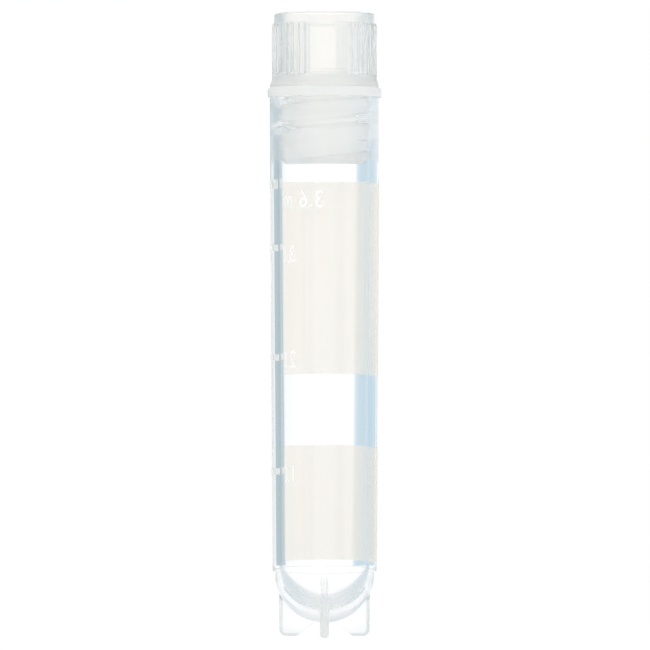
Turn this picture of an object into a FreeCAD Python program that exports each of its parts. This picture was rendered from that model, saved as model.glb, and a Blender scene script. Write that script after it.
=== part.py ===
import FreeCAD, Part
import math
import os

# Screw-cap cryogenic vial with a self-standing star foot.
# Millimetres. +Z is up the vial's axis; the origin is on that axis, in the plane the foot stands on.
# The scale marks are on the -X side, and the writing panels wrap the +Y side.

# ---- tube: outside ----
tube_length = 61.4            # foot plane to rim
rim_diameter = 12.5           # outside, at the rim
skirt_diameter = 11.88        # outside, at the lower end of the tapered wall
skirt_height = 7.4            # foot plane to the small step under the tapered wall
dome_diameter = 11.36         # round closed end
dome_clearance = 1.56         # foot plane to the dome's lowest point
rim_chamfer = 0.12            # broken edges of the rim

# ---- tube: inside ----
bore_mouth_diameter = 10.38   # smooth bore, just under the threaded neck
bore_base_diameter = 9.66     # smooth bore, where the round bottom begins
bore_floor_height = 3.65      # foot plane to the lowest point of the bore
neck_diameter = 10.66         # threaded neck, between the thread ridges
neck_depth = 5.0              # rim to the end of the threaded neck
neck_cone_length = 1.2        # cone from the neck down to the smooth bore

# ---- star foot ----
fin_count = 4
fin_thickness = 1.08
fin_diameter = 10.3           # across opposite fins
fin_corner_radius = 0.8       # outer bottom corner of a fin
fin_foot_inner_radius = 3.25  # inner end of the flat that stands on the table
fin_root_radius = 1.05        # where the raised lower edge meets the dome
fin_edge_radius = 0.47        # rounded outer edges of a fin

# ---- thread shared by the neck and the plug ----
thread_pitch = 3.05
thread_crest_width = 0.9      # flat top of the plug's ridge, along the axis
thread_lower_run = 0.68       # axial length of the ridge's long, shallow flank
thread_upper_run = 0.12       # axial length of its short bearing flank
neck_ridge_crest_width = 0.5
neck_ridge_lower_run = 0.15
neck_ridge_upper_run = 0.55
neck_ridge_gap = 0.55         # plug crest to neck ridge crest, along the axis
neck_ridge_root_gap = 0.15    # neck ridge crest to plug root, radially
thread_phase = -90.0          # bearing of the first ridge's crossing, in degrees from +X
thread_crossing = 4.2         # rim down to that crossing
thread_run_out = 0.6          # half the length over which each ridge fades at its lower end
thread_bite = 0.1             # radial depth to which each ridge is rooted in its own wall

# ---- cap ----
plug_length = 7.7             # rim to the plug's flat end, cap seated
plug_root_diameter = 9.8      # between the ridges
plug_bore_clearance = 0.07    # radial, plug crest to smooth bore
plug_lead_width = 0.45        # chamfer round the plug's flat end, radially
plug_lead_height = 0.55       # the same chamfer, along the axis
plug_floor = 1.25             # thickness of the plug's closed end
plug_wall = 1.5
core_draft = 0.15             # radial taper of the hollow in the plug
flange_diameter = 12.38
flange_rim_height = 0.45
flange_cone_height = 0.4
grip_diameter = 11.95         # across the ribs
grip_length = 6.4             # flange cone to the upper end of the ribs
band_diameter = 11.42         # smooth band above the ribs
band_height = 1.15
band_bevel = 0.14             # broken top edge of the band
grip_wall = 0.82              # smooth band to recess, at the top
recess_draft = 0.2            # radial taper of the recess
recess_floor_height = 1.45    # flange underside to the ledge in the recess
rib_count = 44                # round the whole grip, before the smooth panels are left out
smooth_panel_count = 2        # plain stretches of the grip, between two groups of ribs
smooth_panel_flutes = 5       # flutes left out for each of them
smooth_panel_bearing = -85.0  # middle of the first one, in degrees from +X
flute_depth = 0.22
flute_mouth_width = 0.56      # between two ribs, at their crests
flute_floor_width = 0.2
flute_end_height = 0.55       # plain strip under the flutes, above the flange cone
flute_end_run = 0.35          # length over which the lower end of a flute slopes out

# ---- gasket ----
gasket_thickness = 1.15
gasket_diameter = 12.96
gasket_crown = 0.35           # upper outer edge, eased by two bevels
gasket_crown_first = 0.1      # radial width of the lower, steeper bevel
gasket_clearance = 0.1        # radial, gasket to plug root

# ---- printed film ----
film_thickness = 0.08
panel_span = 180.0            # degrees round the tube
panel_start = -17.0           # degrees from +X
upper_panel_base = 29.6
upper_panel_height = 21.9
lower_panel_base = 8.4
lower_panel_height = 13.1
mark_span = 30.0              # degrees each scale mark runs on from the panels' edge
mark_height = 0.72
top_mark_height = 1.1
marked_volumes = (1.0, 2.0, 3.0, 3.6)  # millilitres
cubic_mm_per_ml = 1000.0

UP = FreeCAD.Vector(0, 0, 1)
ORIGIN = FreeCAD.Vector(0, 0, 0)


def point(radius, height):
    return FreeCAD.Vector(radius, 0, height)


def line(start, end):
    return Part.LineSegment(point(*start), point(*end)).toShape()


def arc(start, middle, end):
    return Part.Arc(point(*start), point(*middle), point(*end)).toShape()


def outline(corners):
    return [line(a, b) for a, b in zip(corners, corners[1:])]


def slopes(edge):
    """Whether an edge is straight and turns into a cone."""
    box = edge.BoundBox
    return isinstance(edge.Curve, Part.Line) and min(box.XLength, box.ZLength) > 0.001


def turned(edges, angle=360.0, start=0.0):
    """Revolve a closed half section about the axis. Sloping edges go in as splines."""
    smooth = [edge.toNurbs().Edges[0] if slopes(edge) else edge for edge in edges]
    face = Part.Face(Part.Wire(smooth))
    face.rotate(ORIGIN, UP, start)
    return face.revolve(ORIGIN, UP, angle)


def ball_point(radius, centre_height, degrees_below):
    tilt = math.radians(degrees_below)
    return (radius * math.cos(tilt), centre_height - radius * math.sin(tilt))


# ---- levels and radii that follow from the sizes above ----
rim_radius = rim_diameter / 2
skirt_radius = skirt_diameter / 2
dome_radius = dome_diameter / 2
dome_centre = dome_clearance + dome_radius
bore_mouth_radius = bore_mouth_diameter / 2
bore_base_radius = bore_base_diameter / 2
bore_centre = bore_floor_height + bore_base_radius
neck_radius = neck_diameter / 2
neck_base = tube_length - neck_depth
bore_mouth = neck_base - neck_cone_length

flange_underside = tube_length + gasket_thickness
flange_top = flange_underside + flange_rim_height
grip_base = flange_top + flange_cone_height
grip_top = grip_base + grip_length
cap_top = grip_top + band_height
recess_floor = flange_underside + recess_floor_height
plug_end = tube_length - plug_length
plug_root_radius = plug_root_diameter / 2
plug_crest_radius = bore_mouth_radius - plug_bore_clearance
core_radius = plug_root_radius - plug_wall
core_floor = plug_end + plug_floor
grip_radius = grip_diameter / 2
band_radius = band_diameter / 2
recess_radius = band_radius - grip_wall
flange_radius = flange_diameter / 2


def wall_radius(height):
    """Outside radius of the tapered tube wall at a height."""
    share = (height - skirt_height) / (tube_length - skirt_height)
    return skirt_radius + (rim_radius - skirt_radius) * share


def fill_height(millilitres):
    """Height of the liquid level that holds a volume, in the round-bottomed bore."""
    left = millilitres * cubic_mm_per_ml - 2.0 / 3.0 * math.pi * bore_base_radius ** 3
    slope = (bore_mouth_radius - bore_base_radius) / (bore_mouth - bore_centre)
    cube = bore_base_radius ** 3 + 3.0 * slope * left / math.pi
    return bore_centre + (cube ** (1.0 / 3.0) - bore_base_radius) / slope


def helical_ridge(section, crossing_height, bottom, top):
    """Sweep a ridge section, drawn about its crest, up a right-hand helix that runs past two levels."""
    radius = section[0][0]
    lower = bottom - max(height for reach, height in section)
    upper = top - min(height for reach, height in section)
    travel = upper - lower
    helix = Part.makeHelix(thread_pitch, travel, radius)
    closed = section + [section[0]]
    profile = Part.Wire(outline(closed))
    ridge = Part.Wire(helix).makePipeShell([profile], True, True)
    turn = 360.0 * (lower - crossing_height) / thread_pitch
    ridge.rotate(ORIGIN, UP, thread_phase + turn)
    ridge.translate(FreeCAD.Vector(0, 0, lower))
    return ridge


def fading(edge_radius, crest_radius, bottom, top, core):
    """Closed half section that limits a ridge: a conical fade at its lower end, a flat cut at its top."""
    height = crest_radius - edge_radius
    clear = crest_radius + height
    return outline([(core, bottom), (edge_radius, bottom), (clear, bottom + 2 * thread_run_out),
                    (clear, top), (core, top), (core, bottom)])


def plug_thread():
    """Buttress ridge on the plug, fading out at its lower end."""
    root = plug_root_radius - thread_bite
    crest = plug_crest_radius
    half = thread_crest_width / 2
    rise = (crest - root) / (crest - plug_root_radius)
    section = [(root, -half - thread_lower_run * rise), (crest, -half), (crest, half),
               (root, half + thread_upper_run * rise)]
    bottom = plug_end + plug_lead_height
    ridge = helical_ridge(section, tube_length - thread_crossing, bottom, tube_length)
    return ridge.common(turned(fading(plug_root_radius, crest, bottom, tube_length, 0)))


def neck_thread():
    """Ridge inside the neck that lies between the turns of the plug's ridge."""
    root = neck_radius + thread_bite
    crest = plug_root_radius + neck_ridge_root_gap
    half = neck_ridge_crest_width / 2
    rise = (root - crest) / (neck_radius - crest)
    section = [(root, -half - neck_ridge_lower_run * rise), (root, half + neck_ridge_upper_run * rise),
               (crest, half), (crest, -half)]
    top = tube_length - rim_chamfer
    crossing = tube_length - thread_crossing + thread_crest_width / 2 + neck_ridge_gap + half
    ridge = helical_ridge(section, crossing, neck_base, top)
    return ridge.common(turned(fading(neck_radius, crest, neck_base, top, root + thread_bite)))


def tube_outside():
    edge = math.degrees(math.asin((dome_centre - skirt_height) / dome_radius))
    step = ball_point(dome_radius, dome_centre, edge)
    shoulder = ball_point(dome_radius, dome_centre, 45)
    bottom = (0, dome_clearance)
    rim_edge = tube_length - rim_chamfer
    wall = [step, (skirt_radius, skirt_height), (wall_radius(rim_edge), rim_edge),
            (rim_radius - rim_chamfer, tube_length), (0, tube_length), bottom]
    return turned([arc(bottom, shoulder, step)] + outline(wall))


def bore():
    side = (bore_base_radius, bore_centre)
    shoulder = ball_point(bore_base_radius, bore_centre, 45)
    bottom = (0, bore_floor_height)
    above = tube_length + rim_chamfer
    wall = [side, (bore_mouth_radius, bore_mouth), (neck_radius, neck_base),
            (neck_radius, tube_length - rim_chamfer), (neck_radius + 2 * rim_chamfer, above),
            (0, above), bottom]
    return turned([arc(bottom, shoulder, side)] + outline(wall))


def fin():
    """One upright plate of the foot, rounded along its outer edge."""
    radius = fin_diameter / 2
    corner = fin_corner_radius
    heel = radius - corner
    middle = (heel + corner * math.sin(math.radians(45)), corner * (1 - math.cos(math.radians(45))))
    inside = dome_clearance + (bore_floor_height - dome_clearance) / 2
    root = (fin_root_radius, dome_centre - math.sqrt(dome_radius ** 2 - fin_root_radius ** 2))
    edges = outline([(fin_foot_inner_radius, 0), (heel, 0)])
    edges.append(arc((heel, 0), middle, (radius, corner)))
    edges += outline([(radius, corner), (radius, dome_centre), (0, dome_centre), (0, inside),
                      (root[0] / 2, inside), root, (fin_foot_inner_radius, 0)])
    face = Part.Face(Part.Wire(edges))
    face.translate(FreeCAD.Vector(0, -fin_thickness / 2, 0))
    plate = face.extrude(FreeCAD.Vector(0, fin_thickness, 0))
    outer = [edge for edge in plate.Edges
             if edge.BoundBox.XMin >= heel - 0.001 and edge.BoundBox.YLength < 0.001
             and edge.BoundBox.ZMax < dome_centre + 0.001 and edge.BoundBox.XMax > radius - 0.001]
    return plate.makeFillet(fin_edge_radius, outer)


def tube():
    solid = tube_outside()
    plate = fin()
    for number in range(fin_count):
        copy = plate.copy()
        copy.rotate(ORIGIN, UP, 360.0 / fin_count * number)
        solid = solid.fuse(copy)
    solid = solid.cut(bore())
    return solid.fuse(neck_thread()).removeSplitter()


def flutes():
    """Cutters for the tapered grooves between the ribs, with none in the smooth panels."""
    half_floor = flute_floor_width / 2
    half_mouth = flute_mouth_width / 2
    start = grip_base + flute_end_height
    # the cutter runs on past the crests by the flutes' own depth, at the same slopes
    half_outer = 2 * half_mouth - half_floor
    flute = Part.makeWedge(-half_floor, grip_radius - flute_depth, start + flute_end_run,
                           start - flute_end_run, -half_outer,
                           half_floor, grip_radius + flute_depth, cap_top, cap_top, half_outer)
    # drawn on the +Y side, so turned from there to the middle of the first smooth panel
    flute.rotate(ORIGIN, UP, smooth_panel_bearing - 90.0)
    per_group = rib_count // smooth_panel_count
    cutters = []
    for number in range(rib_count):
        from_panel = min(number % per_group, per_group - number % per_group)
        if from_panel > smooth_panel_flutes // 2:
            cutter = flute.copy()
            cutter.rotate(ORIGIN, UP, 360.0 / rib_count * number)
            cutters.append(cutter)
    return cutters


def cap():
    """Grip, flange and hollow threaded plug, moulded as one."""
    bevel = (grip_radius - band_radius) / 2
    section = [(0, plug_end), (plug_root_radius - plug_lead_width, plug_end),
               (plug_root_radius, plug_end + plug_lead_height), (plug_root_radius, flange_underside),
               (flange_radius, flange_underside), (flange_radius, flange_top), (grip_radius, grip_base),
               (grip_radius, grip_top - bevel), (grip_radius - bevel, grip_top), (band_radius, grip_top),
               (band_radius, cap_top - band_bevel), (band_radius - band_bevel, cap_top),
               (recess_radius, cap_top), (recess_radius - recess_draft, recess_floor),
               (core_radius, recess_floor), (core_radius - core_draft, core_floor), (0, core_floor),
               (0, plug_end)]
    solid = turned(outline(section)).cut(flutes())
    return solid.fuse(plug_thread()).removeSplitter()


def gasket():
    radius = gasket_diameter / 2
    inner = plug_root_radius + gasket_clearance
    top = flange_underside
    first = gasket_crown_first
    section = [(inner, tube_length), (radius, tube_length), (radius, top - gasket_crown),
               (radius - first, top - first), (radius - gasket_crown, top), (inner, top),
               (inner, tube_length)]
    return turned(outline(section))


def film(base, height, start, span):
    """Thin printed layer on the outside of the tapered wall."""
    top = base + height
    low = wall_radius(base)
    high = wall_radius(top)
    corners = [(low, base), (low + film_thickness, base), (high + film_thickness, top), (high, top),
               (low, base)]
    return turned(outline(corners), span, start)


def scale_marks():
    start = panel_start + panel_span
    marks = []
    for volume in marked_volumes:
        height = top_mark_height if volume == max(marked_volumes) else mark_height
        marks.append(film(fill_height(volume) - height / 2, height, start, mark_span))
    return Part.makeCompound(marks)


nodes = {
    "tube": tube(),
    "cap": cap(),
    "gasket": gasket(),
    "writing_panel_upper": film(upper_panel_base, upper_panel_height, panel_start, panel_span),
    "writing_panel_lower": film(lower_panel_base, lower_panel_height, panel_start, panel_span),
    "scale_marks": scale_marks(),
}

os.makedirs("parts", exist_ok=True)
for name, shape in nodes.items():
    shape.exportStep("parts/" + name + ".step")
    box = shape.BoundBox
    print(name, "valid", shape.isValid(), "solids", len(shape.Solids), "volume", round(shape.Volume, 2),
          "z", round(box.ZMin, 2), round(box.ZMax, 2), "radius", round(box.XMax, 3))
print("scale marks at", [round(fill_height(v), 2) for v in marked_volumes])
print("overall height", round(cap_top, 2))
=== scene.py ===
import math

import bpy
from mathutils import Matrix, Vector


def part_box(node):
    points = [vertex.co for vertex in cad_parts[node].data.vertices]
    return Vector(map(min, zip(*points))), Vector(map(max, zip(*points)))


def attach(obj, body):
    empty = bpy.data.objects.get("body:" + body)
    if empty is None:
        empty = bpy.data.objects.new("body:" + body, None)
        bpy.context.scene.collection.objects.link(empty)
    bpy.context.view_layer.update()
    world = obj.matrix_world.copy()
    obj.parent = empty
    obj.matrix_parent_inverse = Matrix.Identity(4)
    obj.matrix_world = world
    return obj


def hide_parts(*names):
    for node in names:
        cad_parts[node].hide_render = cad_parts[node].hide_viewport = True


# Cryogenic vial: clear round-bottomed tube on a star foot, with a ribbed screw cap, a silicone
# sealing ring and panels printed round the far side. Sizes are in millimetres, and bearings are
# in degrees from +X.

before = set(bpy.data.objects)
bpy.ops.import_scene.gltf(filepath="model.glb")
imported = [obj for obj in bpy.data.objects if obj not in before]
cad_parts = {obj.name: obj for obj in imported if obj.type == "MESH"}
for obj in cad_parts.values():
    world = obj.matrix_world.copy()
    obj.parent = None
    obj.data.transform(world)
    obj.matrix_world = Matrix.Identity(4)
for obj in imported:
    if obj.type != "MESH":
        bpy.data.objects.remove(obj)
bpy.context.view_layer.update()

MM = 0.001
WELD_GAP = 0.0005             # corners closer than this are one corner
TURN_STEPS = 264              # facets round a turned piece
QUARTER_STEPS = 20            # facets of a quarter round in a half section
NEAR_SIDE = -90.0             # bearing of the side that faces the camera

# ---- levels read from the frame ----
tube_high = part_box("tube")[1]
cap_low, cap_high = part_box("cap")
ring_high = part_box("gasket")[1]
upper_low, upper_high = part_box("writing_panel_upper")
lower_low, lower_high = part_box("writing_panel_lower")
RIM = tube_high.z / MM
CAP_TOP = cap_high.z / MM
PLUG_END = cap_low.z / MM
RING_TOP = ring_high.z / MM
RING_RADIUS = ring_high.x / MM

# ---- tube ----
RIM_RADIUS = 6.25
RIM_ROUND = 0.12
SKIRT = 7.4                   # height of the small step under the tapered wall
SKIRT_RADIUS = 5.94
SKIRT_BEVEL = 0.05
DOME_RADIUS = 5.68            # outside of the round end
DOME_CENTRE = 7.24
BORE_BALL_RADIUS = 4.83       # inside of the round end
BORE_CENTRE = 8.48
BORE_MOUTH = 55.2             # where the bore widens into the neck
BORE_MOUTH_RADIUS = 5.19
NECK_BASE = 56.4
NECK_RADIUS = 5.33

# ---- star foot ----
FIN_COUNT = 4
FIN_THICKNESS = 1.08
FIN_RADIUS = 5.15             # axis to a fin's outer edge
FIN_CORNER = 0.8              # round of the lower outer corner
FIN_HEEL = 3.25               # inner end of the bottom edge
FIN_ROOT = 1.05               # where the inner edge runs into the round end
FIN_TOP = 5.6                 # inside the wall of the round end
FIN_BURIED = ((4.3, FIN_TOP), (3.9, 5.0), (3.2, 3.9), (2.0, 3.2), (0.8, 2.8))    # hidden in that wall
FIN_BITE = 0.2                # how far the inner edge's root goes into the wall
FIN_EDGE = 0.47               # radius of the rounded free edges
FIN_ROUND_STEPS = 8
FIN_BORDER = 0.05             # border round each broad face

# ---- thread ----
PITCH = 3.05
FADE = 0.6                    # length over which a ridge fades at its ends
BITE = 0.1                    # radial depth to which a ridge is rooted in its own wall
THREAD_STEPS = 96             # facets to a turn
CROSSING = 4.2                # rim down to the plug ridge's crossing of the near side
PLUG_RIDGE_FEET = (-1.44, 0.62)    # along the axis from the crossing
PLUG_RIDGE_EDGES = (-0.57, 0.48)
PLUG_RIDGE_CREST = (-0.4, 0.38)
CREST_BEVEL = 0.04            # radial step from the crest to its edges
NECK_RIDGE_RISE = 1.25        # neck ridge's crest above the plug's
NECK_RIDGE_SPAN = 0.75        # from that crest to where it meets the wall, along the axis
NECK_RIDGE_STEPS = 10
RIDGE_CLEARANCE = 0.15        # neck's ridge to the plug's wall

# ---- cap ----
PLUG_RADIUS = 4.9
PLUG_CREST = 5.12             # radius over the plug's ridge
PLUG_CORE = 1.0               # bore of the body that limits the ridge
PLUG_LEAD = 0.55              # height of the chamfer round the plug's end
PLUG_LEAD_IN = 0.45           # radial width of that chamfer
CORE_RADIUS = 3.4             # hollow in the plug
CORE_DRAFT = 0.15
CORE_FLOOR = PLUG_END + 1.25
FLANGE_RADIUS = 6.19
FLANGE_EDGE = 0.37            # flange's underside to the upper end of its upright edge
FLANGE_ROUND = 0.08
FLANGE_SLOPE = 60.0           # degrees that the upper round turns through
GRIP_RADIUS = 5.975
GRIP_BASE = 63.4
GRIP_TOP = 69.8
BAND_RADIUS = 5.71            # plain band over the grip
BAND_ROUND = 0.18
RECESS_RADIUS = 4.89
RECESS_ROUND = 0.1
RECESS_DRAFT = 0.2
RECESS_FLOOR = 64.0
RIB_COUNT = 44                # round the whole grip, before the smooth panels are left out
PANEL_COUNT = 2               # smooth panels between the groups of ribs
PANEL_FLUTES = 5              # flutes left out for each
PANEL_BEARING = -85.0         # middle of the near panel
FLUTE_RADIUS = 0.42
FLUTE_DEPTH = 0.17
FLUTE_START = 64.1
FLUTE_OVERRUN = 0.4           # past the top of the grip
FLUTE_STEPS = 28

# ---- sealing ring ----
RING_BORE = 5.0
RING_ROUND = 0.1
RING_CROWN = 0.35

# ---- print ----
INK_THICKNESS = 0.05
INK_GAP = 0.008               # keeps the film's facets clear of the wall's
PANEL_START = -17.0           # bearing of the panels' edge
PANEL_SPAN = 180.0
MARK_SPAN = 30.0
# middle and height of each mark, words, bearing where they start, and how far they sit below the mark
MARKS = ((18.74, 0.72, "1.0", 128.1, 0.4),
         (31.68, 0.72, "2.0", 128.1, 0.3),
         (44.13, 0.72, "3.0", 128.1, 0.75),
         (51.38, 1.1, "3.6 ml", 89.2, 1.7))
NUMERAL_HEIGHT = 2.05
DIGIT_SHARE = 0.73            # height of a digit in the typeface, of its nominal size
DIGIT_ROOM = 14.8             # degrees round the wall that each letter takes
LETTER_ROOM = {".": 6.0, " ": 6.6, "m": 24.0, "l": 6.0}
LETTER_DEPTH = 0.5            # to each side of the wall
LETTER_CURVES = 4             # facets to each curve of a letter
LETTER_WELD_GAP = 0.001       # the weld gap for the outline of a letter

# ---- finishes ----
IN_MM = (1000.0, 1000.0, 1000.0)          # turns metres into millimetres
ALONG_FLOW = (1000.0, 1000.0, 350.0)      # the same, drawn out along the axis
PLASTIC_IOR = 1.49
SILICONE_IOR = 1.42
INK_IOR = 1.45
CLEAR = (0.997, 0.998, 1.0)
PAINTED_EDGE_SHADE = (0.9, 0.915, 0.91)           # painted shade: grayer on the fins' outer edges
EDGE_ROUGHNESS = 0.6          # outer edges of the fins
FOOT_ROUGHNESS = 0.3          # rest of the star foot
FOOT_BLEND = 1.0              # height over which the foot's finish ends under the skirt
FOOT_SKIN = 0.02              # distance from the round end at which the foot's finish is full
BOTTOM_ROUGHNESS = 0.3        # lowest part of the round end
DOME_ROUGHNESS = 0.1          # rest of the round end
BOTTOM_BLEND = (2.9, 3.5)     # heights between which one gives way to the other
NECK_ROUGHNESS = 0.22         # satin of the threaded bore
NECK_BLEND = (PLUG_END - 0.2, PLUG_END + 0.6)            # heights over which it sets in
NECK_DEPTH = (NECK_RADIUS + 0.2, NECK_RADIUS + 0.3)      # radii over which it ends, inside the wall
PLUG_ROUGHNESS = 0.4          # plug, flange and foot of the grip
PLUG_BLEND = (FLUTE_START - 0.35, FLUTE_START + 0.15)    # heights over which the grip takes over
INK_SURFACE = (4.0, 0.55, 0.7)            # speckles to a millimetre, lowest and highest roughness
NOISE_CORE = (0.35, 0.65)     # holds most of the values of a noise
NOISE_REACH = (0.3, 0.7)      # holds nearly all of them

# ---- setting ----
FLOOR_RADIUS = 45.0
FLOOR_STEPS = 96
FLOOR_LEVEL = 1.1             # glow of the floor that the camera sees
FLOOR_SHARE = 0.8             # share of that glow over the floor's own shading
STUDIO_LEVEL = 1.06           # light of the white studio
PAINTED_SHADE_SLOPE = 0.8              # how far the back edge of the painted gray shade falls away to each side
PAINTED_SHADE_EDGE = (2.5, 4.5)        # where that edge fades, behind the axis
PAINTED_SHADE_SIDES = (2.0, 9.0)       # where the painted shade turns darker, to each side of the axis
# where the studio's tiers and ceiling set in, by the rise of the line of sight: 0 level, 1 straight up
MIDDLE_TIER = (-0.012, 0.016)
UPPER_TIER = (0.028, 0.0288)
CEILING_START = (0.06, 0.1)
CEILING_END = (0.7, 0.85)
CEILING_FRONT = (0.0, 0.3)    # by its reach toward the back instead
VIEW_DISTANCE = 650.0
VIEW_HEIGHT = 35.48
VIEW_ASIDE = 0.06
VIEW_WIDTH = 74.13            # what the frame takes in at the axis
SENSOR_WIDTH = 36.0
LIGHT_BOUNCES = 128           # through wall after wall of clear plastic
DIFFUSE_BOUNCES = 12


# ---------------------------------------------------------------- modelling helpers

def pick(piece):
    """Select one piece and nothing else."""
    bpy.ops.object.select_all(action="DESELECT")
    bpy.context.view_layer.objects.active = piece
    piece.select_set(True)


def edit(piece):
    """Open one piece for editing, with nothing selected in it."""
    pick(piece)
    bpy.ops.object.mode_set(mode="EDIT")
    bpy.ops.mesh.select_all(action="DESELECT")


def leave_edit():
    bpy.ops.object.mode_set(mode="OBJECT")


def weld(gap=WELD_GAP):
    """Merge the doubles of the open piece and leave all of it selected."""
    bpy.ops.mesh.select_all(action="SELECT")
    bpy.ops.mesh.remove_doubles(threshold=gap * MM)
    bpy.ops.mesh.select_all(action="SELECT")


def face_outwards():
    """Point all faces of the open piece outwards and end its editing."""
    bpy.ops.mesh.select_all(action="SELECT")
    bpy.ops.mesh.normals_make_consistent(inside=False)
    leave_edit()


def apply_place():
    """Move the selected piece's place, turn and scale into its mesh."""
    bpy.ops.object.transform_apply(location=True, rotation=True, scale=True)


def rename(piece, name):
    piece.name = name
    piece.data.name = name


def half_section(name, start, moves):
    """A chain of edges in the XZ plane, drawn from corner to corner and left open for editing.

    A move is ("to", radius, height), a straight edge to that corner, or ("round", radius, height,
    degrees), an arc about that centre.
    """
    bpy.ops.object.select_all(action="DESELECT")
    bpy.ops.mesh.primitive_plane_add(size=MM, location=(start[0] * MM, 0, start[1] * MM))
    piece = bpy.context.object
    rename(piece, name)
    apply_place()
    bpy.ops.object.mode_set(mode="EDIT")
    bpy.ops.mesh.select_mode(type="VERT")
    bpy.ops.mesh.select_all(action="SELECT")
    bpy.ops.mesh.merge(type="CENTER")
    here = Vector((start[0], 0, start[1]))
    for move in moves:
        if move[0] == "to":
            there = Vector((move[1], 0, move[2]))
            bpy.ops.mesh.extrude_region_move(TRANSFORM_OT_translate={"value": (there - here) * MM})
        else:
            centre = Vector((move[1], 0, move[2]))
            degrees = move[3]
            steps = max(3, round(QUARTER_STEPS * abs(degrees) / 90))
            bpy.ops.mesh.spin(steps=steps, angle=-math.radians(degrees), center=centre * MM, axis=(0, 1, 0))
            arm = here - centre
            turn = math.radians(degrees)
            there = centre + Vector((arm.x * math.cos(turn) + arm.z * math.sin(turn), 0,
                                     arm.z * math.cos(turn) - arm.x * math.sin(turn)))
        here = there
    return piece


def turn_round(piece, steps=TURN_STEPS):
    """Spin an open half section into a closed body of revolution."""
    weld()
    bpy.ops.mesh.spin(steps=steps, angle=2 * math.pi, center=(0, 0, 0), axis=(0, 0, 1))
    weld()
    face_outwards()
    return piece


def duplicate(piece, name, turn):
    """A copy with its own mesh, turned about the axis by so many degrees."""
    pick(piece)
    bpy.ops.object.duplicate(linked=False)
    copy = bpy.context.object
    rename(copy, name)
    copy.rotation_euler = (0, 0, math.radians(turn))
    apply_place()
    return copy


def join(pieces, name):
    bpy.ops.object.select_all(action="DESELECT")
    for piece in pieces:
        piece.select_set(True)
    bpy.context.view_layer.objects.active = pieces[0]
    bpy.ops.object.join()
    joined = bpy.context.object
    rename(joined, name)
    return joined


def combine(body, tool, operation):
    """Unite with, cut by or limit to another closed piece, which is used up."""
    pick(body)
    boolean = body.modifiers.new("combine", "BOOLEAN")
    boolean.operation = operation
    boolean.solver = "MANIFOLD"
    boolean.object = tool
    bpy.ops.object.modifier_apply(modifier="combine")
    bpy.data.objects.remove(tool)
    return body


def smooth(piece, angle):
    """Shade smooth, with edges sharper than so many degrees left sharp."""
    pick(piece)
    bpy.ops.object.shade_smooth_by_angle(angle=math.radians(angle))


def helical_ridge(name, section, height, bottom, top):
    """A ridge round a right-hand helix, crossing the near side at a height and running past two levels."""
    lower = bottom - max(z for r, z in section)
    upper = top - min(z for r, z in section)
    travel = upper - lower
    bearing = NEAR_SIDE + 360.0 * (lower - height) / PITCH
    corners = [(r, z + lower) for r, z in section]
    ridge = half_section(name, corners[0], [("to", r, z) for r, z in corners[1:] + corners[:1]])
    weld()
    leave_edit()
    screw = ridge.modifiers.new("helix", "SCREW")
    screw.axis = "Z"
    screw.angle = math.radians(360.0 * travel / PITCH)
    screw.screw_offset = travel * MM
    screw.steps = round(THREAD_STEPS * travel / PITCH)
    screw.render_steps = screw.steps
    screw.use_normal_calculate = False
    bpy.ops.object.modifier_apply(modifier="helix")
    edit(ridge)
    bpy.ops.mesh.select_mode(type="EDGE")
    bpy.ops.mesh.select_non_manifold()
    bpy.ops.mesh.edge_face_add()
    bpy.ops.mesh.select_all(action="SELECT")
    bpy.ops.mesh.fill_holes(sides=0)
    bpy.ops.mesh.select_mode(type="VERT")
    face_outwards()
    ridge.rotation_euler = (0, 0, math.radians(bearing))
    apply_place()
    return ridge


def fade_limit(name, edge, crest, bottom, top, core):
    """A turned body whose conical ends make a ridge fade out."""
    clear = crest + (crest - edge)
    corners = [(edge, bottom), (clear, bottom + 2 * FADE), (clear, top - 2 * FADE), (edge, top), (core, top),
               (core, bottom)]
    limit = half_section(name, (core, bottom), [("to", r, z) for r, z in corners])
    return turn_round(limit)


def wall_radius(height):
    """Outside radius of the tapered wall."""
    share = (height - SKIRT) / (RIM - SKIRT)
    return SKIRT_RADIUS + (RIM_RADIUS - SKIRT_RADIUS) * share


# ---------------------------------------------------------------- tube

def tube_body():
    """Tapered wall, round closed end and smooth bore as one turned piece."""
    step = math.degrees(math.acos((SKIRT - DOME_CENTRE) / DOME_RADIUS))
    top = RIM - RIM_ROUND
    outside = [("round", 0, DOME_CENTRE, -(180.0 - step)),
               ("to", SKIRT_RADIUS - SKIRT_BEVEL, SKIRT), ("to", SKIRT_RADIUS, SKIRT + SKIRT_BEVEL),
               ("to", wall_radius(top), top), ("round", wall_radius(top) - RIM_ROUND, top, -90.0)]
    inside = [("to", NECK_RADIUS + RIM_ROUND, RIM), ("round", NECK_RADIUS + RIM_ROUND, top, -90.0),
              ("to", NECK_RADIUS, NECK_BASE), ("to", BORE_MOUTH_RADIUS, BORE_MOUTH),
              ("to", BORE_BALL_RADIUS, BORE_CENTRE), ("round", 0, BORE_CENTRE, 90.0)]
    piece = half_section("tube_body", (0, DOME_CENTRE - DOME_RADIUS), outside + inside)
    return turn_round(piece)


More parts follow.
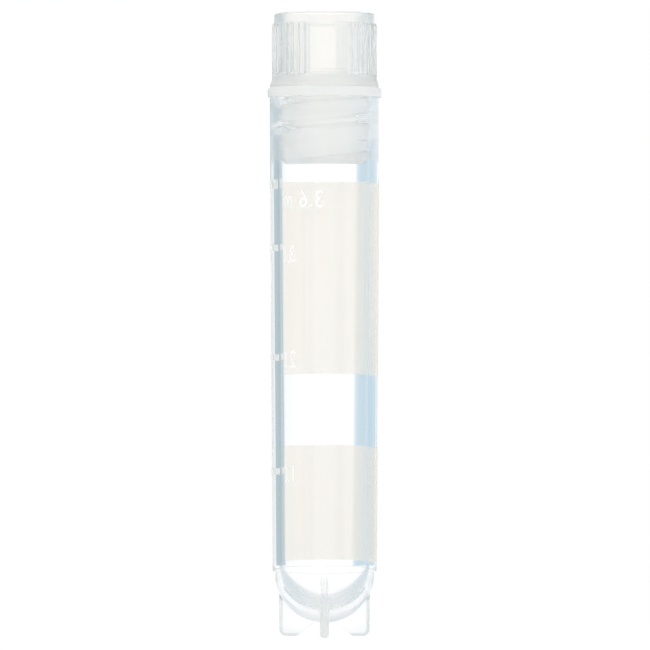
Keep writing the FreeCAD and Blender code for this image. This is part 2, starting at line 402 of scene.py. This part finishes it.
def fin_outline(inset, across):
    """A fin's outline, drawn in from its free edges by an inset, at a place across its thickness."""
    corner = FIN_RADIUS - FIN_CORNER
    root = DOME_CENTRE - math.sqrt(DOME_RADIUS ** 2 - FIN_ROOT ** 2)
    start = (FIN_HEEL - inset * (FIN_HEEL - FIN_ROOT) / root, inset)
    moves = [("to", corner, inset), ("round", corner, FIN_CORNER, -90.0), ("to", FIN_RADIUS - inset, FIN_TOP)]
    moves += [("to", r, z) for r, z in FIN_BURIED]
    moves += [("to", FIN_BURIED[-1][0], root + FIN_BITE), ("to", FIN_ROOT, root), ("to", start[0], start[1])]
    outline = half_section("fin_outline", start, moves)
    weld()
    bpy.ops.transform.translate(value=(0, across * MM, 0))
    leave_edit()
    return outline


def fin():
    """One upright plate of the star foot, with rounded free edges, rooted in the wall of the round end."""
    flat = FIN_THICKNESS / 2 - FIN_EDGE
    round_edge = []
    for step in range(FIN_ROUND_STEPS + 1):
        tilt = math.radians(90.0 * step / FIN_ROUND_STEPS)
        round_edge.append((FIN_EDGE * (1 - math.cos(tilt)), flat + FIN_EDGE * math.sin(tilt)))
    outlines = [fin_outline(inset, -across) for inset, across in reversed(round_edge)]
    outlines += [fin_outline(inset, across) for inset, across in round_edge]
    plate = join(outlines, "fin")
    edit(plate)
    bpy.ops.mesh.select_mode(type="EDGE")
    bpy.ops.mesh.select_all(action="SELECT")
    bpy.ops.mesh.bridge_edge_loops(type="SINGLE")
    bpy.ops.mesh.select_all(action="SELECT")
    bpy.ops.mesh.fill_holes(sides=0)
    face_outwards()
    # a narrow border keeps the shading of the two broad faces even
    edit(plate)
    bpy.ops.mesh.select_mode(type="FACE")
    leave_edit()
    for face in plate.data.polygons:
        face.select = abs(face.normal.y) > 0.999
    bpy.ops.object.mode_set(mode="EDIT")
    bpy.ops.mesh.inset(thickness=FIN_BORDER * MM)
    bpy.ops.mesh.select_mode(type="VERT")
    leave_edit()
    return plate


def neck_thread():
    """The round-backed ridge in the neck that the plug's ridge rides under."""
    root = NECK_RADIUS + BITE
    crest = PLUG_RADIUS + RIDGE_CLEARANCE
    section = [(root, -NECK_RIDGE_SPAN)]
    for step in range(-NECK_RIDGE_STEPS, NECK_RIDGE_STEPS + 1):
        rise = math.cos(math.radians(90.0 * step / NECK_RIDGE_STEPS)) ** 2
        radius = NECK_RADIUS - (NECK_RADIUS - crest) * rise
        section.append((radius, NECK_RIDGE_SPAN * step / NECK_RIDGE_STEPS))
    section.append((root, NECK_RIDGE_SPAN))
    top = RIM - RIM_ROUND
    ridge = helical_ridge("neck_thread", section, RIM - CROSSING + NECK_RIDGE_RISE, NECK_BASE, top)
    limit = fade_limit("neck_thread_limit", NECK_RADIUS, crest, NECK_BASE, top, root + BITE)
    return combine(ridge, limit, "INTERSECT")


def make_tube():
    tube = tube_body()
    plate = fin()
    plates = [plate]
    for number in range(1, FIN_COUNT):
        plates.append(duplicate(plate, "fin", 360.0 / FIN_COUNT * number))
    combine(tube, join(plates, "fins"), "UNION")
    combine(tube, neck_thread(), "UNION")
    rename(tube, "tube_moulding")
    smooth(tube, 18.0)
    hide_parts("tube")
    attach(tube, "tube")
    return tube


# ---------------------------------------------------------------- cap

def cap_body():
    """Hollow plug, flange, grip and recess as one turned piece."""
    bevel = (GRIP_RADIUS - BAND_RADIUS) / 2
    flange_corner = FLANGE_RADIUS - FLANGE_ROUND
    moves = [("to", PLUG_RADIUS - PLUG_LEAD_IN, PLUG_END), ("to", PLUG_RADIUS, PLUG_END + PLUG_LEAD),
             ("to", PLUG_RADIUS, RING_TOP), ("to", flange_corner, RING_TOP),
             ("round", flange_corner, RING_TOP + FLANGE_ROUND, -90.0),
             ("to", FLANGE_RADIUS, RING_TOP + FLANGE_EDGE),
             ("round", flange_corner, RING_TOP + FLANGE_EDGE, -FLANGE_SLOPE),
             ("to", GRIP_RADIUS, GRIP_BASE), ("to", GRIP_RADIUS, GRIP_TOP - bevel),
             ("to", GRIP_RADIUS - bevel, GRIP_TOP), ("to", BAND_RADIUS, GRIP_TOP),
             ("to", BAND_RADIUS, CAP_TOP - BAND_ROUND),
             ("round", BAND_RADIUS - BAND_ROUND, CAP_TOP - BAND_ROUND, -90.0),
             ("to", RECESS_RADIUS + RECESS_ROUND, CAP_TOP),
             ("round", RECESS_RADIUS + RECESS_ROUND, CAP_TOP - RECESS_ROUND, -90.0),
             ("to", RECESS_RADIUS - RECESS_DRAFT, RECESS_FLOOR), ("to", CORE_RADIUS, RECESS_FLOOR),
             ("to", CORE_RADIUS - CORE_DRAFT, CORE_FLOOR), ("to", 0, CORE_FLOOR)]
    piece = half_section("cap_body", (0, PLUG_END), moves)
    return turn_round(piece)


def flutes():
    """All the round-ended grooves between the ribs, with none in the smooth panels, as one cutter."""
    centre = GRIP_RADIUS - FLUTE_DEPTH + FLUTE_RADIUS
    top = GRIP_TOP + FLUTE_OVERRUN
    groove = half_section("flute", (0, FLUTE_START - FLUTE_RADIUS),
                          [("round", 0, FLUTE_START, -90.0), ("to", FLUTE_RADIUS, top), ("to", 0, top)])
    turn_round(groove, FLUTE_STEPS)
    groove.location = (centre * MM, 0, 0)
    apply_place()
    per_group = RIB_COUNT // PANEL_COUNT
    grooves = []
    for number in range(RIB_COUNT):
        from_panel = min(number % per_group, per_group - number % per_group)
        if from_panel > PANEL_FLUTES // 2:
            grooves.append(duplicate(groove, "flute", PANEL_BEARING + 360.0 / RIB_COUNT * number))
    bpy.data.objects.remove(groove)
    return join(grooves, "flutes")


def plug_thread():
    """Buttress ridge round the plug, with a long slope under its crest and a steep one above."""
    root = PLUG_RADIUS - BITE
    edge = PLUG_CREST - CREST_BEVEL
    lower = [(root, PLUG_RIDGE_FEET[0]), (edge, PLUG_RIDGE_EDGES[0]), (PLUG_CREST, PLUG_RIDGE_CREST[0])]
    upper = [(PLUG_CREST, PLUG_RIDGE_CREST[1]), (edge, PLUG_RIDGE_EDGES[1]), (root, PLUG_RIDGE_FEET[1])]
    bottom = PLUG_END + PLUG_LEAD
    ridge = helical_ridge("plug_thread", lower + upper, RIM - CROSSING, bottom, RIM)
    limit = fade_limit("plug_thread_limit", PLUG_RADIUS, PLUG_CREST, bottom, RIM, PLUG_CORE)
    return combine(ridge, limit, "INTERSECT")


def make_cap():
    cap = cap_body()
    combine(cap, flutes(), "DIFFERENCE")
    combine(cap, plug_thread(), "UNION")
    rename(cap, "cap_moulding")
    smooth(cap, 30.0)
    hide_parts("cap")
    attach(cap, "cap")
    return cap


# ---------------------------------------------------------------- sealing ring

def make_ring():
    moves = [("to", RING_RADIUS - RING_ROUND, RIM),
             ("round", RING_RADIUS - RING_ROUND, RIM + RING_ROUND, -90.0),
             ("to", RING_RADIUS, RING_TOP - RING_CROWN),
             ("round", RING_RADIUS - RING_CROWN, RING_TOP - RING_CROWN, -90.0),
             ("to", RING_BORE, RING_TOP), ("to", RING_BORE, RIM)]
    ring = turn_round(half_section("sealing_ring", (RING_BORE, RIM), moves))
    smooth(ring, 40.0)
    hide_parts("gasket")
    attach(ring, "gasket")
    return ring


# ---------------------------------------------------------------- print

def ink_film(name, base, height, start, span):
    """A thin curved layer of ink on the outside of the tapered wall."""
    top = base + height
    inner_low = wall_radius(base) + INK_GAP
    inner_high = wall_radius(top) + INK_GAP
    moves = [("to", inner_low + INK_THICKNESS, base), ("to", inner_high + INK_THICKNESS, top),
             ("to", inner_high, top), ("to", inner_low, base)]
    film = half_section(name, (inner_low, base), moves)
    weld()
    bpy.ops.mesh.edge_face_add()
    steps = round(TURN_STEPS * span / 360)
    bpy.ops.mesh.spin(steps=steps, angle=-math.radians(span), center=(0, 0, 0), axis=(0, 0, 1))
    weld()
    face_outwards()
    film.rotation_euler = (0, 0, math.radians(start))
    pick(film)
    apply_place()
    return film


def letter(sign, height, bearing):
    """One solid letter that stands through the ink, upright and read from outside the vial."""
    bpy.ops.object.select_all(action="DESELECT")
    bpy.ops.object.text_add(location=(0, 0, 0))
    text = bpy.context.object
    text.name = "letter"
    text.data.body = sign
    text.data.size = NUMERAL_HEIGHT / DIGIT_SHARE * MM
    text.data.align_x = "CENTER"
    text.data.extrude = LETTER_DEPTH * MM
    text.data.resolution_u = LETTER_CURVES
    bpy.ops.object.convert(target="MESH")
    text = bpy.context.object
    text.rotation_euler = (math.radians(90), 0, math.radians(180))
    apply_place()
    text.location = (0, wall_radius(height) * MM, (height - NUMERAL_HEIGHT / 2) * MM)
    apply_place()
    text.rotation_euler = (0, 0, math.radians(bearing - 90))
    apply_place()
    edit(text)
    weld(LETTER_WELD_GAP)
    face_outwards()
    return text


def numeral(words, height, bearing):
    """The letters of one reading, each square to the wall at its own place round it."""
    letters = []
    for sign in words:
        room = LETTER_ROOM.get(sign, DIGIT_ROOM)
        if sign != " ":
            letters.append(letter(sign, height, bearing + room / 2))
        bearing += room
    return join(letters, "numeral")


def finish_print(film, solid):
    smooth(film, 30.0)
    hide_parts(solid)
    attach(film, "tube")
    return film


def panel_film(name, low, high):
    return ink_film(name, low.z / MM, (high.z - low.z) / MM, PANEL_START, PANEL_SPAN)


def make_print():
    """Two panels with the readings cut out of them, and the scale marks beside the panels."""
    upper = panel_film("panel_ink_upper", upper_low, upper_high)
    lower = panel_film("panel_ink_lower", lower_low, lower_high)
    marks = []
    for level, height, words, bearing, drop in MARKS:
        panel = upper if level > upper_low.z / MM else lower
        combine(panel, numeral(words, level - drop, bearing), "DIFFERENCE")
        marks.append(ink_film("mark", level - height / 2, height, PANEL_START + PANEL_SPAN, MARK_SPAN))
    scale = join(marks, "scale_ink")
    return [finish_print(upper, "writing_panel_upper"), finish_print(lower, "writing_panel_lower"),
            finish_print(scale, "scale_marks")]


# ---------------------------------------------------------------- node helpers

def node(tree, kind, **settings):
    made = tree.nodes.new(kind)
    for key, value in settings.items():
        setattr(made, key, value)
    return made


def connect(tree, source, port):
    """Feed a port from another node's output, or set it to a plain value."""
    if isinstance(source, bpy.types.NodeSocket):
        tree.links.new(source, port)
    else:
        port.default_value = source


def calculate(tree, operation, *values):
    """The result of one operation on outputs or plain numbers."""
    step = node(tree, "ShaderNodeMath", operation=operation)
    for source, port in zip(values, step.inputs):
        connect(tree, source, port)
    return step.outputs[0]


def value_range(tree, source, low, high, to_low, to_high):
    """A value carried from one range to another, and held at both ends."""
    step = node(tree, "ShaderNodeMapRange")
    for name, value in (("Value", source), ("From Min", low), ("From Max", high),
                        ("To Min", to_low), ("To Max", to_high)):
        connect(tree, value, step.inputs[name])
    return step.outputs["Result"]


def along(tree, length, stretch, first, last):
    """A value that goes from first to last as a length goes through a stretch of millimetres."""
    return value_range(tree, length, stretch[0] * MM, stretch[1] * MM, first, last)


def measure(tree, operation, place, other=None):
    """A vector operation on a place, such as its length or its distance from a point."""
    step = node(tree, "ShaderNodeVectorMath", operation=operation)
    tree.links.new(place, step.inputs[0])
    if other:
        step.inputs[1].default_value = other
    return step.outputs["Vector" if operation == "MULTIPLY" else "Value"]


def object_place(tree):
    """The place on the piece, in metres."""
    return node(tree, "ShaderNodeTexCoord").outputs["Object"]


def axes(tree, place):
    """The X, Y and Z of a place."""
    split = node(tree, "ShaderNodeSeparateXYZ")
    tree.links.new(place, split.inputs["Vector"])
    return split.outputs


def noise(tree, scale, count, detail):
    """Noise with a count of waves to the millimetre, on coordinates that a scale brings to millimetres."""
    in_mm = node(tree, "ShaderNodeMapping")
    in_mm.inputs["Scale"].default_value = scale
    tree.links.new(object_place(tree), in_mm.inputs["Vector"])
    texture = node(tree, "ShaderNodeTexNoise")
    tree.links.new(in_mm.outputs["Vector"], texture.inputs["Vector"])
    connect(tree, count, texture.inputs["Scale"])
    texture.inputs["Detail"].default_value = detail
    return texture.outputs["Fac"]


def relief(tree, height, strength, depth):
    """A bump whose height of 1 stands for a depth in millimetres."""
    bump = node(tree, "ShaderNodeBump")
    bump.inputs["Strength"].default_value = strength
    bump.inputs["Distance"].default_value = depth * MM
    tree.links.new(height, bump.inputs["Height"])
    return bump.outputs["Normal"]


def colour_ramp(tree, source, stops):
    """Colours along a value, each at its place between 0 and 1."""
    ramp = node(tree, "ShaderNodeValToRGB")
    band = ramp.color_ramp
    while len(band.elements) > 1:
        band.elements.remove(band.elements[-1])
    for index, (position, colour) in enumerate(stops):
        element = band.elements[0] if index == 0 else band.elements.new(position)
        element.position = position
        element.color = colour + (1.0,)
    tree.links.new(source, ramp.inputs["Fac"])
    return ramp.outputs["Color"]


def colour_mix(tree, share, first, second):
    """A colour between two others, which are outputs or plain colours."""
    mix = node(tree, "ShaderNodeMix", data_type="RGBA")
    ports = [port for port in mix.inputs if port.enabled]
    for source, port in zip((share, first, second), ports):
        connect(tree, source, port)
    return [port for port in mix.outputs if port.enabled][0]


def shader_mix(tree, share, first, second):
    mix = node(tree, "ShaderNodeMixShader")
    for source, port in zip((share, first, second), mix.inputs):
        tree.links.new(source, port)
    return mix.outputs["Shader"]


def glow(tree, kind, colour, strength):
    """Light of one colour, as an emission or a background."""
    lamp = node(tree, kind)
    connect(tree, colour, lamp.inputs["Color"])
    lamp.inputs["Strength"].default_value = strength
    return lamp.outputs[0]


def surface_group(name, settings, results):
    """An empty node group with named values in and named results out."""
    group = bpy.data.node_groups.new(name, "ShaderNodeTree")
    for label, value in settings:
        port = group.interface.new_socket(name=label, in_out="INPUT", socket_type="NodeSocketFloat")
        port.default_value = value
    for label in results:
        kind = "NodeSocketVector" if label == "Normal" else "NodeSocketFloat"
        group.interface.new_socket(name=label, in_out="OUTPUT", socket_type=kind)
    return group, node(group, "NodeGroupInput").outputs, node(group, "NodeGroupOutput").inputs


# ---------------------------------------------------------------- materials

def moulded_surface_group():
    """Faint waviness and flow lines of a moulded surface, with the roughness that goes with them."""
    settings = (("Wave size", 3.0), ("Wave height", 0.1), ("Grain height", 0.02),
                ("Roughness low", 0.02), ("Roughness high", 0.05))
    group, enter, leave = surface_group("moulded_surface", settings, ("Roughness", "Normal"))
    wave = noise(group, ALONG_FLOW, calculate(group, "DIVIDE", 1.0, enter["Wave size"]), detail=2.0)
    grain = noise(group, ALONG_FLOW, 6.0, detail=3.0)
    height = calculate(group, "ADD", calculate(group, "MULTIPLY", wave, enter["Wave height"]),
                       calculate(group, "MULTIPLY", grain, enter["Grain height"]))
    rough = value_range(group, grain, *NOISE_CORE, enter["Roughness low"], enter["Roughness high"])
    group.links.new(rough, leave["Roughness"])
    group.links.new(relief(group, height, strength=1.0, depth=1.0), leave["Normal"])
    return group


def printed_surface_group():
    """Uneven density of a printed film, with its fine relief and the roughness that goes with it."""
    settings = (("Speckles", 4.0), ("Roughness low", 0.55), ("Roughness high", 0.7))
    group, enter, leave = surface_group("printed_surface", settings, ("Density", "Roughness", "Normal"))
    speckle = noise(group, IN_MM, enter["Speckles"], detail=4.0)
    rough = value_range(group, speckle, *NOISE_REACH, enter["Roughness low"], enter["Roughness high"])
    group.links.new(speckle, leave["Density"])
    group.links.new(rough, leave["Roughness"])
    group.links.new(relief(group, speckle, strength=0.1, depth=0.01), leave["Normal"])
    return group


MOULDED = moulded_surface_group()
PRINTED = printed_surface_group()


def principled(material):
    """The ports of a material's shader."""
    return material.node_tree.nodes["Principled BSDF"].inputs


def new_material(name, group, values):
    """A material with a surface group in it, and the group's results."""
    material = bpy.data.materials.new(name)
    material.use_nodes = True
    tree = material.node_tree
    surface = node(tree, "ShaderNodeGroup")
    surface.node_tree = group
    for port, value in zip(surface.inputs, values):
        port.default_value = value
    for label in ("Roughness", "Normal"):
        tree.links.new(surface.outputs[label], principled(material)[label])
    return material, surface.outputs


def moulded_material(name, colour, transmission, ior, waves, rough):
    """Clear or hazy moulded plastic.

    waves are the size and height of its waves and the height of its grain, and rough is its lowest
    and highest roughness.
    """
    material = new_material(name, MOULDED, waves + rough)[0]
    shader = principled(material)
    shader["Base Color"].default_value = colour + (1.0,)
    shader["Transmission Weight"].default_value = transmission
    shader["IOR"].default_value = ior
    return material


def roughen(material, finishes):
    """Give each place the roughest of its finishes and the polish that it has."""
    port = principled(material)["Roughness"]
    rough = port.links[0].from_socket
    for finish in finishes:
        rough = calculate(material.node_tree, "MAXIMUM", rough, finish)
    material.node_tree.links.new(rough, port)


def tube_material():
    """Clear moulded plastic, satin in the threaded neck and at the bottom, most of all on the star foot, with
    painted shade on the fins' outer edges.
    """
    material = moulded_material("clear_polypropylene_moulded", CLEAR, transmission=1.0, ior=PLASTIC_IOR,
                                waves=(3.0, 0.004, 0.0), rough=(0.0, 0.03))
    tree = material.node_tree
    place = object_place(tree)
    height = axes(tree, place)["Z"]
    from_dome = measure(tree, "DISTANCE", place, (0, 0, DOME_CENTRE * MM))
    radius = measure(tree, "LENGTH", measure(tree, "MULTIPLY", place, (1, 1, 0)))
    low = along(tree, height, (SKIRT - FOOT_BLEND, SKIRT), 1.0, 0.0)
    off_dome = along(tree, from_dome, (DOME_RADIUS, DOME_RADIUS + FOOT_SKIN), 0.0, 1.0)
    outermost = along(tree, radius, (FIN_RADIUS - FIN_EDGE, FIN_RADIUS - FIN_EDGE / 2), 0.0, 1.0)
    foot = calculate(tree, "MULTIPLY", low, off_dome)
    edge = calculate(tree, "MULTIPLY", foot, outermost)
    broad = calculate(tree, "MULTIPLY", foot, FOOT_ROUGHNESS)
    fins = calculate(tree, "MULTIPLY_ADD", edge, EDGE_ROUGHNESS - FOOT_ROUGHNESS, broad)
    dome = calculate(tree, "MULTIPLY", low,
                     along(tree, height, BOTTOM_BLEND, BOTTOM_ROUGHNESS, DOME_ROUGHNESS))
    neck = calculate(tree, "MULTIPLY", along(tree, height, NECK_BLEND, 0.0, NECK_ROUGHNESS),
                     along(tree, radius, NECK_DEPTH, 1.0, 0.0))
    roughen(material, (dome, fins, neck))
    # painted shade: the fins' outer edges are tinted grayer
    tint = colour_ramp(tree, edge, ((0.0, CLEAR), (1.0, PAINTED_EDGE_SHADE)))
    tree.links.new(tint, principled(material)["Base Color"])
    return material


def cap_material():
    """Milky moulded plastic, clearer in the grip than in the flange and plug."""
    material = moulded_material("milky_polypropylene_moulded", (0.995, 0.987, 0.97), transmission=0.85,
                                ior=PLASTIC_IOR, waves=(2.0, 0.0, 0.0003), rough=(0.12, 0.16))
    tree = material.node_tree
    height = axes(tree, object_place(tree))["Z"]
    roughen(material, [along(tree, height, PLUG_BLEND, PLUG_ROUGHNESS, 0.0)])
    return material


def ring_material():
    """Satin silicone, hazier than the mouldings."""
    return moulded_material("satin_silicone", (0.98, 0.98, 0.97), transmission=0.35, ior=SILICONE_IOR,
                            waves=(1.5, 0.01, 0.001), rough=(0.3, 0.4))


def ink_material(name, thin, dense, alpha):
    """Matte ink, slightly uneven in density."""
    material, surface = new_material(name, PRINTED, INK_SURFACE)
    shader = principled(material)
    tint = colour_ramp(material.node_tree, surface["Density"], zip(NOISE_CORE, (thin, dense)))
    material.node_tree.links.new(tint, shader["Base Color"])
    shader["IOR"].default_value = INK_IOR
    shader["Alpha"].default_value = alpha
    return material


def paint(piece, material):
    piece.data.materials.clear()
    piece.data.materials.append(material)


# ---------------------------------------------------------------- floor, light and camera

def floor_colour(tree):
    """White, with painted gray shade at the front that reaches back to just behind the vial."""
    place = axes(tree, object_place(tree))
    aside = calculate(tree, "ABSOLUTE", place["X"])
    behind = calculate(tree, "MULTIPLY_ADD", aside, -PAINTED_SHADE_SLOPE, place["Y"])
    # painted shade: a gray patch on the floor round the vial's foot, seen only through the glass and in
    # reflections
    painted_shade = colour_ramp(tree, along(tree, aside, PAINTED_SHADE_SIDES, 0.0, 1.0),
                       ((0.0, (0.72, 0.75, 0.76)), (1.0, (0.6, 0.68, 0.72))))
    return colour_mix(tree, along(tree, behind, PAINTED_SHADE_EDGE, 0.0, 1.0), painted_shade, (1, 1, 1, 1))


def make_floor():
    """A small white floor, with painted gray shade on it that only clear and glossy parts show."""
    bpy.ops.object.select_all(action="DESELECT")
    bpy.ops.mesh.primitive_circle_add(vertices=FLOOR_STEPS, radius=FLOOR_RADIUS * MM, fill_type="NGON",
                                      location=(0, 0, 0))
    floor = bpy.context.object
    floor.name = "floor"
    material = bpy.data.materials.new("white_floor")
    material.use_nodes = True
    tree = material.node_tree
    shader = tree.nodes["Principled BSDF"]
    shader.inputs["Base Color"].default_value = (0.9, 0.9, 0.9, 1)
    shader.inputs["Roughness"].default_value = 0.8
    path = node(tree, "ShaderNodeLightPath").outputs
    seen = calculate(tree, "MAXIMUM", path["Is Glossy Ray"], path["Is Transmission Ray"])
    in_glass = glow(tree, "ShaderNodeEmission", floor_colour(tree), STUDIO_LEVEL)
    backdrop = glow(tree, "ShaderNodeEmission", (1, 1, 1, 1), FLOOR_LEVEL)
    dressed = shader_mix(tree, seen, shader.outputs["BSDF"], in_glass)
    direct = calculate(tree, "MULTIPLY", path["Is Camera Ray"], FLOOR_SHARE)
    surface = shader_mix(tree, direct, dressed, backdrop)
    tree.links.new(surface, tree.nodes["Material Output"].inputs["Surface"])
    paint(floor, material)


def studio_rings(tree, turn, height):
    """White walls with paler blue-gray panels standing at the sides, in three tiers of height."""
    white = (1.0, 1.0, 1.0)
    soft = (0.94, 0.95, 0.96)
    cool = (0.4, 0.5, 0.54)
    mid = (0.5, 0.58, 0.62)
    blue = (0.52, 0.66, 0.75)
    pale = (0.76, 0.82, 0.85)
    teal = (0.4, 0.52, 0.58)
    # colours round the horizon, at degrees from +Y toward +X
    back = [(-180, white), (-158, white), (-150, pale), (-130, pale), (-122, white), (-72, white)]
    left = [(-61, cool), (-24, cool), (-20, soft), (-9, soft), (-5, white), (7, white)]
    right = [(72, pale), (86, pale), (92, white), (126, white), (132, pale), (148, pale), (156, white),
             (180, white)]
    below = back + left + [(9, blue), (66, blue)] + right
    above = back + left + [(8, mid), (20, mid), (29, white), (66, white)] + right
    steep = back + [(-68, teal), (-10, teal), (-5, white), (180, white)]
    tiers = [colour_ramp(tree, turn, [((degrees + 180.0) / 360.0, colour) for degrees, colour in stops])
             for stops in (below, above, steep)]
    level = colour_mix(tree, value_range(tree, height, *MIDDLE_TIER, 0.0, 1.0), tiers[0], tiers[1])
    return colour_mix(tree, value_range(tree, height, *UPPER_TIER, 0.0, 1.0), level, tiers[2])


def studio_ceiling(tree, colour, behind, height):
    """A gray ceiling panel behind the vial, laid over the studio's colour."""
    rise = value_range(tree, height, *CEILING_START, 0.0, 1.0)
    fall = value_range(tree, height, *CEILING_END, 1.0, 0.0)
    far = value_range(tree, behind, *CEILING_FRONT, 0.0, 1.0)
    share = calculate(tree, "MULTIPLY", calculate(tree, "MULTIPLY", rise, fall), far)
    return colour_mix(tree, share, colour, (0.7, 0.74, 0.76, 1))


def make_world():
    """A white studio with blue-gray panels that lights the vial, while the camera sees plain white."""
    world = bpy.data.worlds.new("white_studio")
    bpy.context.scene.world = world
    world.use_nodes = True
    tree = world.node_tree
    tree.nodes.clear()
    sight = axes(tree, node(tree, "ShaderNodeTexCoord").outputs["Generated"])
    # degrees from +Y toward +X, -180 at -Y, brought to 0..1
    turn = value_range(tree, calculate(tree, "ARCTAN2", sight["X"], sight["Y"]), -math.pi, math.pi, 0.0, 1.0)
    colour = studio_ceiling(tree, studio_rings(tree, turn, sight["Z"]), sight["Y"], sight["Z"])
    studio = glow(tree, "ShaderNodeBackground", colour, STUDIO_LEVEL)
    backdrop = glow(tree, "ShaderNodeBackground", (1, 1, 1, 1), 1.0)
    camera_ray = node(tree, "ShaderNodeLightPath").outputs["Is Camera Ray"]
    tree.links.new(shader_mix(tree, camera_ray, studio, backdrop),
                   node(tree, "ShaderNodeOutputWorld").inputs["Surface"])


def make_camera():
    bpy.ops.object.select_all(action="DESELECT")
    bpy.ops.object.camera_add(location=(VIEW_ASIDE * MM, -VIEW_DISTANCE * MM, VIEW_HEIGHT * MM),
                              rotation=(math.radians(90), 0, 0))
    camera = bpy.context.object
    camera.name = "camera"
    camera.data.sensor_width = SENSOR_WIDTH
    camera.data.lens = SENSOR_WIDTH * VIEW_DISTANCE / VIEW_WIDTH
    camera.data.clip_start = 0.01
    camera.data.clip_end = 10.0
    bpy.context.scene.camera = camera


tube = make_tube()
cap = make_cap()
ring = make_ring()
panel_upper, panel_lower, scale = make_print()

panel_ink = ink_material("matte_cream_ink", thin=(0.97, 0.915, 0.83), dense=(0.99, 0.935, 0.85), alpha=0.42)
mark_ink = ink_material("matte_white_ink", thin=(0.96, 0.96, 0.95), dense=(1.0, 1.0, 0.99), alpha=0.85)
paint(tube, tube_material())
paint(cap, cap_material())
paint(ring, ring_material())
paint(panel_upper, panel_ink)
paint(panel_lower, panel_ink)
paint(scale, mark_ink)

make_floor()
make_world()
make_camera()

scene = bpy.context.scene
scene.view_settings.view_transform = "Standard"
scene.cycles.blur_glossy = 0.0
scene.cycles.max_bounces = LIGHT_BOUNCES
scene.cycles.transmission_bounces = LIGHT_BOUNCES
scene.cycles.glossy_bounces = LIGHT_BOUNCES
scene.cycles.diffuse_bounces = DIFFUSE_BOUNCES
